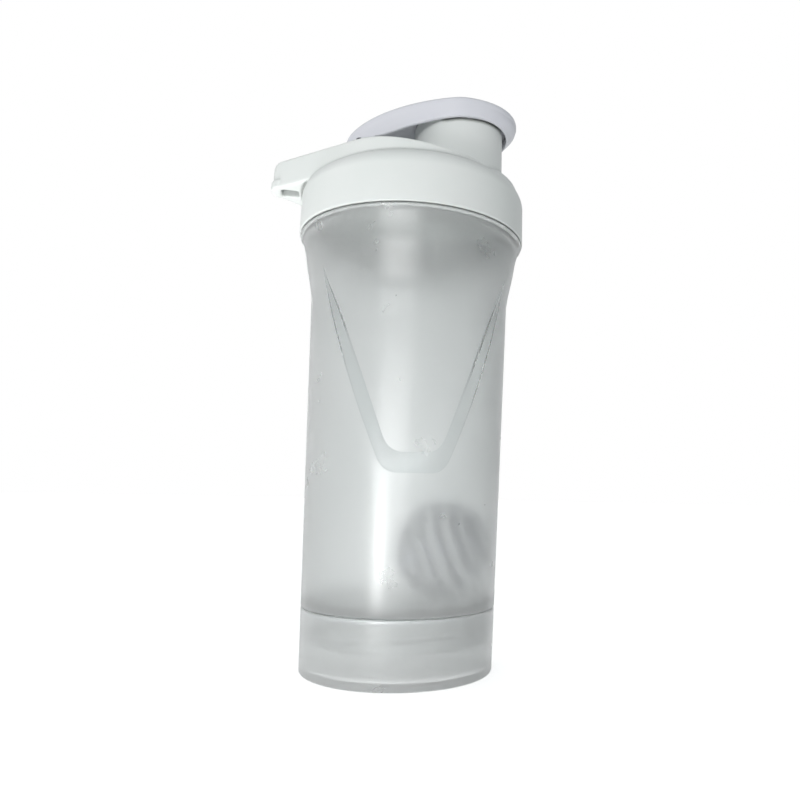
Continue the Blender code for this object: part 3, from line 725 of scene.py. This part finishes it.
def border_indices(rings, wall_start, low_row, high_row, middle):
    """Points of the turned wall on the patch's border, in the order of patch_border."""
    def at(row, column):
        return rings[wall_start + row][0] + (middle + column) % COLUMNS

    half = [at(low_row, i) for i in range(PATCH_COLUMNS)]
    half += [at(low_row + i, PATCH_COLUMNS) for i in range(PATCH_ROWS)]
    half += [at(high_row, PATCH_COLUMNS - i) for i in range(PATCH_COLUMNS)]
    other = [at(high_row, -i) for i in range(1, PATCH_COLUMNS)]
    other += [at(high_row - i, -PATCH_COLUMNS) for i in range(PATCH_ROWS)]
    other += [at(low_row, -PATCH_COLUMNS + i) for i in range(PATCH_COLUMNS)]
    return half + [at(high_row, 0)] + other


def add_patch(points, faces, kinds, border, centre):
    """Adds the panel's loops and returns the edges along its two lines."""
    loops, band = panel_loops()
    count = len(border)
    top_from = PATCH_COLUMNS + PATCH_ROWS
    top_to = count - top_from
    before, creases = border, []
    for number, (line, share) in enumerate(loops):
        ring = list(range(len(points), len(points) + count))
        points += [wall_point(a, z, centre, share * panel_sink(z)) for a, z in line]
        for i in range(count):
            j = (i + 1) % count
            faces.append([before[i], before[j], ring[j], ring[i]])
            beside = not top_from <= i < top_to
            kinds.append(POLISHED if beside and band[0] < number <= band[-1] else FROSTED)
            if beside and number in (*band[:2], *band[-2:]):
                creases.append((ring[i], ring[j]))
        before = ring
    faces.append(list(before))
    kinds.append(FROSTED)
    return creases


def cup_shell():
    points, faces, kinds, creases = cup_mesh()
    obj = mesh_piece("cup_shell", points, faces)
    obj.data.polygons.foreach_set("material_index", kinds)
    outward(obj)
    sharp = {frozenset(edge) for edge in creases}
    for edge in obj.data.edges:
        if frozenset(edge.vertices) in sharp:
            edge.use_edge_sharp = True
    for mat in (frosted_plastic("frosted_outside", 0.30, 0.03, 0.010, 0.8),
                frosted_plastic("blurred_inside", 0.30, 0.03, 0.010), polished_plastic()):
        obj.data.materials.append(mat)
    return placed(obj, "cup", "cup")


def store_outside():
    """Rings from the middle of the storage cup's underside to its mouth's outer edge."""
    top = STORE_HIGH.z
    edge = float(wall_radius(top))
    rings = [(0.0, 0.0, PLAIN), (14.0, 0.0, PLAIN), (28.0, 0.0, PLAIN)]
    for i in range(CORNER_STEPS + 1):
        a = pi / 2 * i / CORNER_STEPS
        radius = BASE_RADIUS - BASE_ROUND + BASE_ROUND * sin(a)
        rings.append((radius, BASE_ROUND - BASE_ROUND * cos(a), PLAIN))
    rings += [(float(wall_radius(z)), float(z), PLAIN) for z in np.linspace(2.5, top - 1.2, 14)]
    return rings + [(edge, top - 0.5, PLAIN), (edge - 0.12, top - 0.12, PLAIN),
                    (edge - 0.5, top, PLAIN), (STORE_BORE + 0.5, top, PLAIN)]


def store_inside():
    """Rings down the threaded mouth and the bore, round the corner and across the floor."""
    top, low = STORE_HIGH.z, FLOOR + CORNER
    bore = STORE_BORE - 0.3
    rings = [(STORE_BORE + 0.12, top - 0.12, PLAIN), (STORE_BORE, top - 0.5, PLAIN)]
    rings += rings_between(STORE_BORE, SEAL_LOW.z, CUP_LOW.z, STORE_RINGS, STORE_THREAD)
    rings += [(bore + 0.15, CUP_LOW.z - 2, PLAIN), (bore, low + 1, PLAIN)]
    for i in range(CORNER_STEPS + 1):
        a = pi / 2 * i / CORNER_STEPS
        rings.append((bore - CORNER + CORNER * cos(a), low - CORNER * sin(a), PLAIN))
    return rings + [(radius, FLOOR, PLAIN) for radius in (20.0, 10.0, 0.0)]


def storage_shell():
    """The screw-on compartment, with the female thread inside its mouth."""
    points, faces, kinds = [], [], []
    outside = store_outside()
    rings = turned_rings(outside + store_inside(), points)
    for row, (lower, upper) in enumerate(zip(rings, rings[1:])):
        for column in range(COLUMNS):
            face = quad_between(lower, upper, column)
            if len(face) > 2:
                faces.append(face)
                kinds.append(INSIDE if row >= len(outside) else FROSTED)
    obj = mesh_piece("storage_shell", points, faces)
    obj.data.polygons.foreach_set("material_index", kinds)
    outward(obj)
    obj.data.materials.append(frosted_plastic("frosted_base", 0.30, 0.03, 0.010, 0.74))
    obj.data.materials.append(frosted_plastic("blurred_base_inside", 0.32, 0.04, 0.012))
    return placed(obj, "storage", "storage_cup")


# Whisk ball

def wound_wire():
    """One wire wound on a sphere, as a mesh about the origin with its poles on Z."""
    reach = BALL_RADIUS - WIRE_RADIUS
    steps = WIRE_TURNS * WIRE_STEPS
    curve = bpy.data.curves.new("whisk_wire", "CURVE")
    curve.dimensions = "3D"
    curve.bevel_depth = WIRE_RADIUS * MM
    curve.bevel_resolution = 3
    curve.use_fill_caps = True
    spline = curve.splines.new("POLY")
    spline.points.add(steps)
    low, high = radians(WIRE_POLE), radians(180 - WIRE_POLE)
    for i, point in enumerate(spline.points):
        share = i / steps
        polar = low + (high - low) * share
        turn = 2 * pi * WIRE_TURNS * share
        across = reach * sin(polar)
        point.co = (across * cos(turn) * MM, across * sin(turn) * MM, reach * cos(polar) * MM, 1)
    source = bpy.data.objects.new("whisk_source", curve)
    bpy.context.scene.collection.objects.link(source)
    graph = bpy.context.evaluated_depsgraph_get()
    mesh = bpy.data.meshes.new_from_object(source.evaluated_get(graph))
    bpy.data.objects.remove(source, do_unlink=True)
    return mesh


def whisk_ball():
    """The wire ball, rolled onto its side where the CAD's ball lies."""
    centre = (BALL_LOW + BALL_HIGH) / 2
    mesh = wound_wire()
    mesh.transform(Matrix.Translation(centre * MM) @ Matrix.Rotation(radians(BALL_LEAN), 4, "Y")
                   @ Matrix.Rotation(radians(BALL_ROLL), 4, "X"))
    ball = bpy.data.objects.new("whisk_wire_ball", mesh)
    bpy.context.scene.collection.objects.link(ball)
    mesh.materials.clear()
    mesh.materials.append(painted_dark_steel())
    mesh.shade_smooth()
    return placed(ball, "whisk", "whisk_ball")


# Lid

def teardrop(x, y, grow=0.0):
    """Distance from the deck's plan outline: a large and a small circle with their tangents."""
    across, along = np.abs(y), -x
    reach = TAB_REACH - TAB_TIP
    b = (DECK_RADIUS - TAB_TIP) / reach
    a = sqrt(1 - b * b)
    k = a * along - b * across
    large = np.hypot(across, along) - DECK_RADIUS
    small = np.hypot(across, along - reach) - TAB_TIP
    side = a * across + b * along - DECK_RADIUS
    return np.where(k < 0, large, np.where(k > a * reach, small, side)) - grow


def deck_top(x):
    """Height of the deck's rim: high at the tab, low beside the spout."""
    rise = smooth_step((DECK_LOW_X - x) / (DECK_LOW_X - DECK_HIGH_X))
    return DECK_Z + DECK_STEP * rise - DECK_FALL * np.maximum(x - DECK_LOW_X, 0)


def lid_body(x, y, z):
    """Skirt with a rounded shoulder."""
    q = np.hypot(x, y) - (LID_RADIUS - SHOULDER_ROUND)
    w = z - (SHOULDER_TOP - SHOULDER_ROUND)
    corner = np.hypot(np.maximum(q, 0), np.maximum(w, 0)) + np.minimum(np.maximum(q, w), 0)
    return smooth_max(corner - SHOULDER_ROUND, LID_LOW.z - z, 0.7)


def rounded_box(across, up, corner):
    """Distance from a quarter plane with a rounded corner at the origin."""
    across, up = across + corner, up + corner
    inside = np.minimum(np.maximum(across, up), 0)
    return np.hypot(np.maximum(across, 0), np.maximum(up, 0)) + inside - corner


def lid_tower(x, y, z):
    """Raised deck and carry tab, with a small lip at the foot of the tab's end."""
    top = z - deck_top(x)
    end = rounded_box(-x - TAB_REACH, z - DECK_Z - DECK_STEP, TAB_CORNER)
    foot = TAB_FOOT - z
    tower = smooth_max(teardrop(x, y), np.maximum(top, end), 0.9)
    tower = smooth_max(tower, foot, 1.2)
    lip = smooth_max(teardrop(x, y, TAB_LIP), foot, 1.2)
    lip = smooth_max(lip, -foot - TAB_LIP_HEIGHT, 0.8)
    lip = smooth_max(lip, x + TAB_REACH - TAB_CORNER, 1.2)
    return smooth_min(tower, lip, 0.8)


def spout(x, y, z):
    """A straight tube and, on the side away from the tab, its flared root."""
    growth = smooth_curve(SPOUT_FLARE, FLARE_TOP - z)
    tube = smooth_max(np.hypot(x - SPOUT_X, y) - SPOUT_RADIUS, z - SPOUT_RIM, 0.5)
    flare = (np.hypot(x - SPOUT_X - FLARE_SHIFT, y) + FLARE_SHIFT - SPOUT_RADIUS - growth) * 0.85
    flare = np.maximum(flare, z - FLARE_TOP)
    return smooth_max(np.minimum(tube, flare), SHOULDER_TOP - 4.8 - z, 0.5)


def hinge_lug(x, y, z):
    """Rounded lug on the deck for the pin, wider at its root."""
    foot = DECK_Z + 1.0
    drop = np.clip((HINGE_Z - z) / (HINGE_Z - foot), 0, 1)
    away = np.hypot(x - HINGE_X - 1.0 * drop**2, np.maximum(z - HINGE_Z, 0))
    thick = np.abs(y) - LUG_HALF - 0.8 * drop**3
    lug = smooth_max(away - LUG_RADIUS - LUG_SPREAD * drop**3, thick, 0.8)
    return np.maximum(lug, foot - z)


def lid_hollow(x, y, z):
    """The threaded bore for the neck, and the space under the deck."""
    rho = np.hypot(x, y)
    angle = np.degrees(np.arctan2(y, x))
    thread = THREAD_DEPTH * ridges(angle, z, NECK_THREAD_Z - MESH_DROP, NECK_LEAD)
    skirt = smooth_max(rho - LID_BORE + thread, z - SEAT_Z, 0.4)
    ceiling = deck_top(x) - DECK_SINK - DECK_PLATE
    under = smooth_max(rho - DECK_RADIUS + DECK_PLATE, z - ceiling, 1.0)
    return np.minimum(skirt, under)


def lid_field(x, y, z):
    """Distance from the lid's surface: its solid shapes joined, then its hollows cut out."""
    body, tower = lid_body(x, y, z), lid_tower(x, y, z)
    lid = smooth_min(body, tower, 0.3)
    tray = smooth_max(teardrop(x, y, -DECK_RIM), deck_top(x) - DECK_SINK - z, 0.7)
    lid = smooth_max(lid, -tray, 0.6)
    lid = smooth_min(lid, spout(x, y, z), 0.9)
    lid = smooth_min(lid, hinge_lug(x, y, z), 1.2)
    lid = smooth_max(lid, -lid_hollow(x, y, z), 0.4)
    bore = np.maximum(np.hypot(x - SPOUT_X, y) - SPOUT_BORE, SEAT_Z - z)
    lid = smooth_max(lid, -bore, 0.5)
    along, across = np.abs(x - SLOT_X) - SLOT_LENGTH / 2, np.abs(y) - SLOT_WIDTH / 2
    slot = np.maximum(rounded_box(along, across, SLOT_CORNER), SHOULDER_TOP - SHOULDER_ROUND - z)
    lid = smooth_max(lid, -slot, 0.8)
    pin = np.hypot(x - HINGE_X, z - HINGE_Z) - PIN_BORE
    return smooth_max(lid, -pin, 0.2)


def lid_shell():
    """The lid's surface, drawn from its field."""
    low = (LID_LOW.x - 1, LID_LOW.y - 1, LID_LOW.z - 1)
    high = (LID_HIGH.x + 1, LID_HIGH.y + 1, LID_HIGH.z + 1)
    obj = surfaced("lid_shell", lid_field, low, high, FIELD_CELL)
    obj.data.materials.append(lid_plastic())
    return placed(obj, "lid", "lid")


# Flip cap

def cap_plan(x, y, z):
    """Distance from the cap's plan outline: a disc with a thumb lip, and the tapered arm."""
    dx, across = x - SPOUT_X, np.abs(y)
    facing = np.clip(dx / np.maximum(np.hypot(dx, y), 1e-6), 0, 1) ** 2
    under = smooth_step((z - CAP_EDGE + 1) / (CAP_TOP - STEP_DROP - CAP_EDGE))
    step = 0.45 * smooth_step((CAP_TOP - STEP_DROP - z) / 0.5 + 0.5) * facing
    disc = np.hypot(dx, y) - CAP_RADIUS - CAP_LIP * facing * under + step
    length = hypot(SPOUT_X - CAP_TAIL, CAP_TAIL_HALF)
    lean = asin(CAP_RADIUS / length) - asin(CAP_TAIL_HALF / length)
    side = across * cos(lean) - CAP_TAIL_HALF * cos(lean) - (x - CAP_TAIL) * sin(lean)
    arm = smooth_max(side, CAP_TAIL - x, 2.0)
    arm = np.maximum(arm, dx + CAP_RADIUS * sin(lean))
    return np.minimum(disc, arm)


def arch(x, z):
    """Distance from the arm's arched top, which is level over the disc."""
    length, rise = SPOUT_X - CAP_TAIL, CAP_TOP - ARM_FOOT
    s = np.clip((SPOUT_X - x) / length, 0, None)
    h = np.clip((z - ARM_FOOT) / rise, 1e-4, None)
    total = s**ARM_POWER + h**ARM_POWER
    value = total ** (1 / ARM_POWER) - 1
    pull = total ** (1 / ARM_POWER - 1)
    slope = np.hypot(pull * s ** (ARM_POWER - 1) / length, pull * h ** (ARM_POWER - 1) / rise)
    return value / np.maximum(slope, 0.25 / length)


def cap_field(x, y, z):
    """Distance from the cap's surface: an arch over its outline, with its hollows cut out."""
    plan, top = cap_plan(x, y, z), arch(x, z)
    cap = smooth_max(plan, top, 2.6)
    lower = HINGE_Z + smooth_curve(CAP_LOWER, x) - z
    cheek = np.hypot(x - HINGE_X, z - HINGE_Z) - CAP_CHEEK
    cap = smooth_max(cap, smooth_min(lower * 0.95, cheek, 1.0), 0.7)
    from_spout = np.hypot(x - SPOUT_X, y)
    disc = np.maximum(from_spout - CAP_BORE, CAP_CEILING - z)
    inner = smooth_max(smooth_max(plan + CAP_WALL, top + CAP_WALL, 2.0), x - SPOUT_X, 0.5)
    hollow = smooth_max(inner, -disc, 0.6)
    cap = smooth_max(cap, -hollow, 0.5)
    swing = np.hypot(x - SPOUT_X - np.clip(x - SPOUT_X, 0, CAP_SWING), y) - CAP_BORE
    cap = smooth_max(cap, -smooth_max(swing, z - CAP_CEILING, 0.4), 0.4)
    slot = smooth_max(np.abs(y) - LUG_HALF - 0.5, x - HINGE_X - LUG_RADIUS - 0.5, 0.5)
    cap = smooth_max(cap, -slot, 0.5)
    dish = smooth_max(from_spout - CAP_RADIUS + CAP_DISH_RIM, CAP_TOP - CAP_DISH - z, 1.2)
    cap = smooth_max(cap, -dish, 0.8)
    ring = np.abs(from_spout - PLUG_RADIUS + 1.0) - 1.0
    boss = smooth_max(ring, PLUG_LOW.z + 0.6 - z, 0.4)
    cap = smooth_min(cap, np.maximum(boss, z - CAP_CEILING - 1), 0.4)
    pin = np.hypot(x - HINGE_X, z - HINGE_Z) - PIN_BORE
    return smooth_max(cap, -pin, 0.2)


def cap_shell():
    """The flip cap's surface, drawn from its field."""
    low = (CAP_LOW.x - 1, CAP_LOW.y - 1, CAP_LOW.z - 1)
    high = (CAP_HIGH.x + 1, CAP_HIGH.y + 1, CAP_HIGH.z + 1)
    obj = surfaced("cap_shell", cap_field, low, high, FIELD_CELL)
    obj.data.materials.append(cap_plastic())
    return placed(obj, "cap", "flip_cap")


# Seals and pin

def seals():
    """Lid gasket, base seal and the spout's plug ring, with rounded edges."""
    mat = silicone()
    inner, outer = NECK_BORE + 0.2, LID_BORE - GAP
    low, high = GASKET_LOW.z, GASKET_HIGH.z
    square = [(inner, low), (outer, low), (outer, high), (inner, high)]
    gasket = turned("gasket_ring", rounded(square, 0.5))
    inner, outer = BOSS_RADIUS + GAP, STORE_BORE - GAP
    low, high = SEAL_LOW.z, SEAL_HIGH.z
    middle = (low + high) / 2
    ridged = [(inner, low), (outer - 0.4, low), (outer, middle), (outer - 0.4, high), (inner, high)]
    base = turned("base_ring_seal", rounded(ridged, 0.4))
    inner, mouth = PLUG_RADIUS + GAP, SPOUT_BORE - GAP
    low, high = PLUG_LOW.z, PLUG_HIGH.z
    profile = [(inner, low), (mouth - 0.62 * (SPOUT_RIM - low), low), (mouth, SPOUT_RIM),
               (mouth, SPOUT_RIM + GAP), (SPOUT_RADIUS - 1, SPOUT_RIM + GAP), (SPOUT_RADIUS - 1, high),
               (inner, high)]
    plug = turned("plug_ring", rounded(profile, 0.3), SPOUT_X)
    for obj, body, node in ((gasket, "lid_ring", "lid_gasket"), (base, "base_ring", "base_seal"),
                            (plug, "cap", "spout_seal")):
        obj.data.materials.append(mat)
        placed(obj, body, node)


def hinge_pin():
    """Steel pin with domed ends, across the lug and both cheeks of the cap."""
    half = (PIN_HIGH.y - PIN_LOW.y) / 2
    radius = (PIN_HIGH.z - PIN_LOW.z) / 2
    profile = rounded([(0.0, -half), (radius, -half), (radius, half), (0.0, half)], 0.5)
    pin = turned("hinge_rod", profile, 0.0, 48)
    pin.data.transform(Matrix.Translation(Vector((HINGE_X, 0, HINGE_Z)) * MM)
                       @ Matrix.Rotation(pi / 2, 4, "X"))
    # The pin shares the wire's steel, whose dark colour is painted shade.
    pin.data.materials.append(painted_dark_steel())
    return placed(pin, "lid", "hinge_pin")


# Studio

def floor():
    """A plain pale floor that runs out of sight."""
    bm = bmesh.new()
    bmesh.ops.create_circle(bm, cap_ends=True, segments=96, radius=FLOOR_RADIUS)
    mesh = bpy.data.meshes.new("studio_floor")
    bm.to_mesh(mesh)
    bm.free()
    obj = bpy.data.objects.new("studio_floor", mesh)
    bpy.context.scene.collection.objects.link(obj)
    obj.location.z = cad_low.z - FLOOR_DROP
    mat = material("floor_white", (0.93, 0.93, 0.93), 0.8)
    shader = shader_of(mat)
    shader.inputs["Emission Color"].default_value = (1, 1, 1, 1)
    shader.inputs["Emission Strength"].default_value = FLOOR_GLOW
    mesh.materials.append(mat)
    obj.visible_diffuse = False


def area_light(name, place, target, size, power):
    """A soft light that the camera doesn't see."""
    light = bpy.data.lights.new(name, "AREA")
    light.shape = "RECTANGLE"
    light.size, light.size_y = size
    light.energy = power
    obj = bpy.data.objects.new(name, light)
    bpy.context.scene.collection.objects.link(obj)
    obj.location = place
    obj.rotation_euler = (Vector(target) - Vector(place)).to_track_quat("-Z", "Y").to_euler()
    obj.visible_camera = False
    return obj


def lights():
    """Soft front light, and two small lamps for the highlight down the cup and its foot."""
    key = area_light("key", (-0.36, -1.05, 0.10), MIDDLE, (0.7, 0.2), 5.2)
    fill = area_light("fill", (0.50, -0.95, 0.10), MIDDLE, (0.5, 0.2), 0.8)
    bounce = area_light("bounce", (-0.085, -0.03, 0.012), (-0.060, -0.01, 0.19), (0.05, 0.05), 0.010)
    bounce.data.spread = 0.7
    for light in (key, fill, bounce):
        light.visible_glossy = False
    area_light("lamp", (-0.135, -0.254, 0.024), (-0.01, -0.037, 0.04), (0.03, 0.08), 0.26)
    area_light("foot", (-0.115, -0.22, 0.006), (-0.01, -0.037, 0.012), (0.02, 0.012), 0.05)


def surroundings():
    """White where the camera looks past the bottle. The bottle itself sees grey to white."""
    world = bpy.data.worlds.new("studio")
    bpy.context.scene.world = world
    world.use_nodes = True
    nodes, links = world.node_tree.nodes, world.node_tree.links
    around = nodes["Background"]
    place = nodes.new("ShaderNodeTexCoord")
    lean = nodes.new("ShaderNodeVectorMath")
    lean.operation = "DOT_PRODUCT"
    lean.inputs[1].default_value = LEAN
    level = nodes.new("ShaderNodeMapRange")
    level.inputs["From Min"].default_value = -0.5
    level.inputs["From Max"].default_value = 0.5
    ramp = nodes.new("ShaderNodeValToRGB")
    ramp.color_ramp.elements[0].color = (*DARK, 1)
    ramp.color_ramp.elements[1].color = (*LIGHT, 1)
    links.new(place.outputs["Generated"], lean.inputs[0])
    links.new(lean.outputs["Value"], level.inputs["Value"])
    links.new(level.outputs["Result"], ramp.inputs["Fac"])
    links.new(ramp.outputs["Color"], around.inputs["Color"])
    seen = nodes.new("ShaderNodeBackground")
    seen.inputs["Color"].default_value = (1, 1, 1, 1)
    path = nodes.new("ShaderNodeLightPath")
    mix = nodes.new("ShaderNodeMixShader")
    links.new(path.outputs["Is Camera Ray"], mix.inputs[0])
    links.new(around.outputs[0], mix.inputs[1])
    links.new(seen.outputs[0], mix.inputs[2])
    links.new(mix.outputs[0], nodes["World Output"].inputs["Surface"])
    bpy.context.scene.view_settings.view_transform = "Standard"


def camera():
    """The photograph's view: from just above the base, a little left of the front, looking up."""
    data = bpy.data.cameras.new("camera")
    data.sensor_width = 36
    data.lens = LENS
    data.shift_x, data.shift_y = SHIFT_X, SHIFT_Y
    data.clip_start, data.clip_end = 0.01, 50
    obj = bpy.data.objects.new("camera", data)
    bpy.context.scene.collection.objects.link(obj)
    turn = (Matrix.Rotation(radians(CAMERA_TURN), 4, "Z")
            @ Matrix.Rotation(radians(90 + CAMERA_RISE), 4, "X")
            @ Matrix.Rotation(radians(CAMERA_ROLL), 4, "Z"))
    obj.matrix_world = Matrix.Translation(CAMERA_PLACE) @ turn
    bpy.context.scene.camera = obj


storage_shell()
cup_shell()
whisk_ball()
lid_shell()
cap_shell()
seals()
hinge_pin()
floor()
surroundings()
lights()
camera()
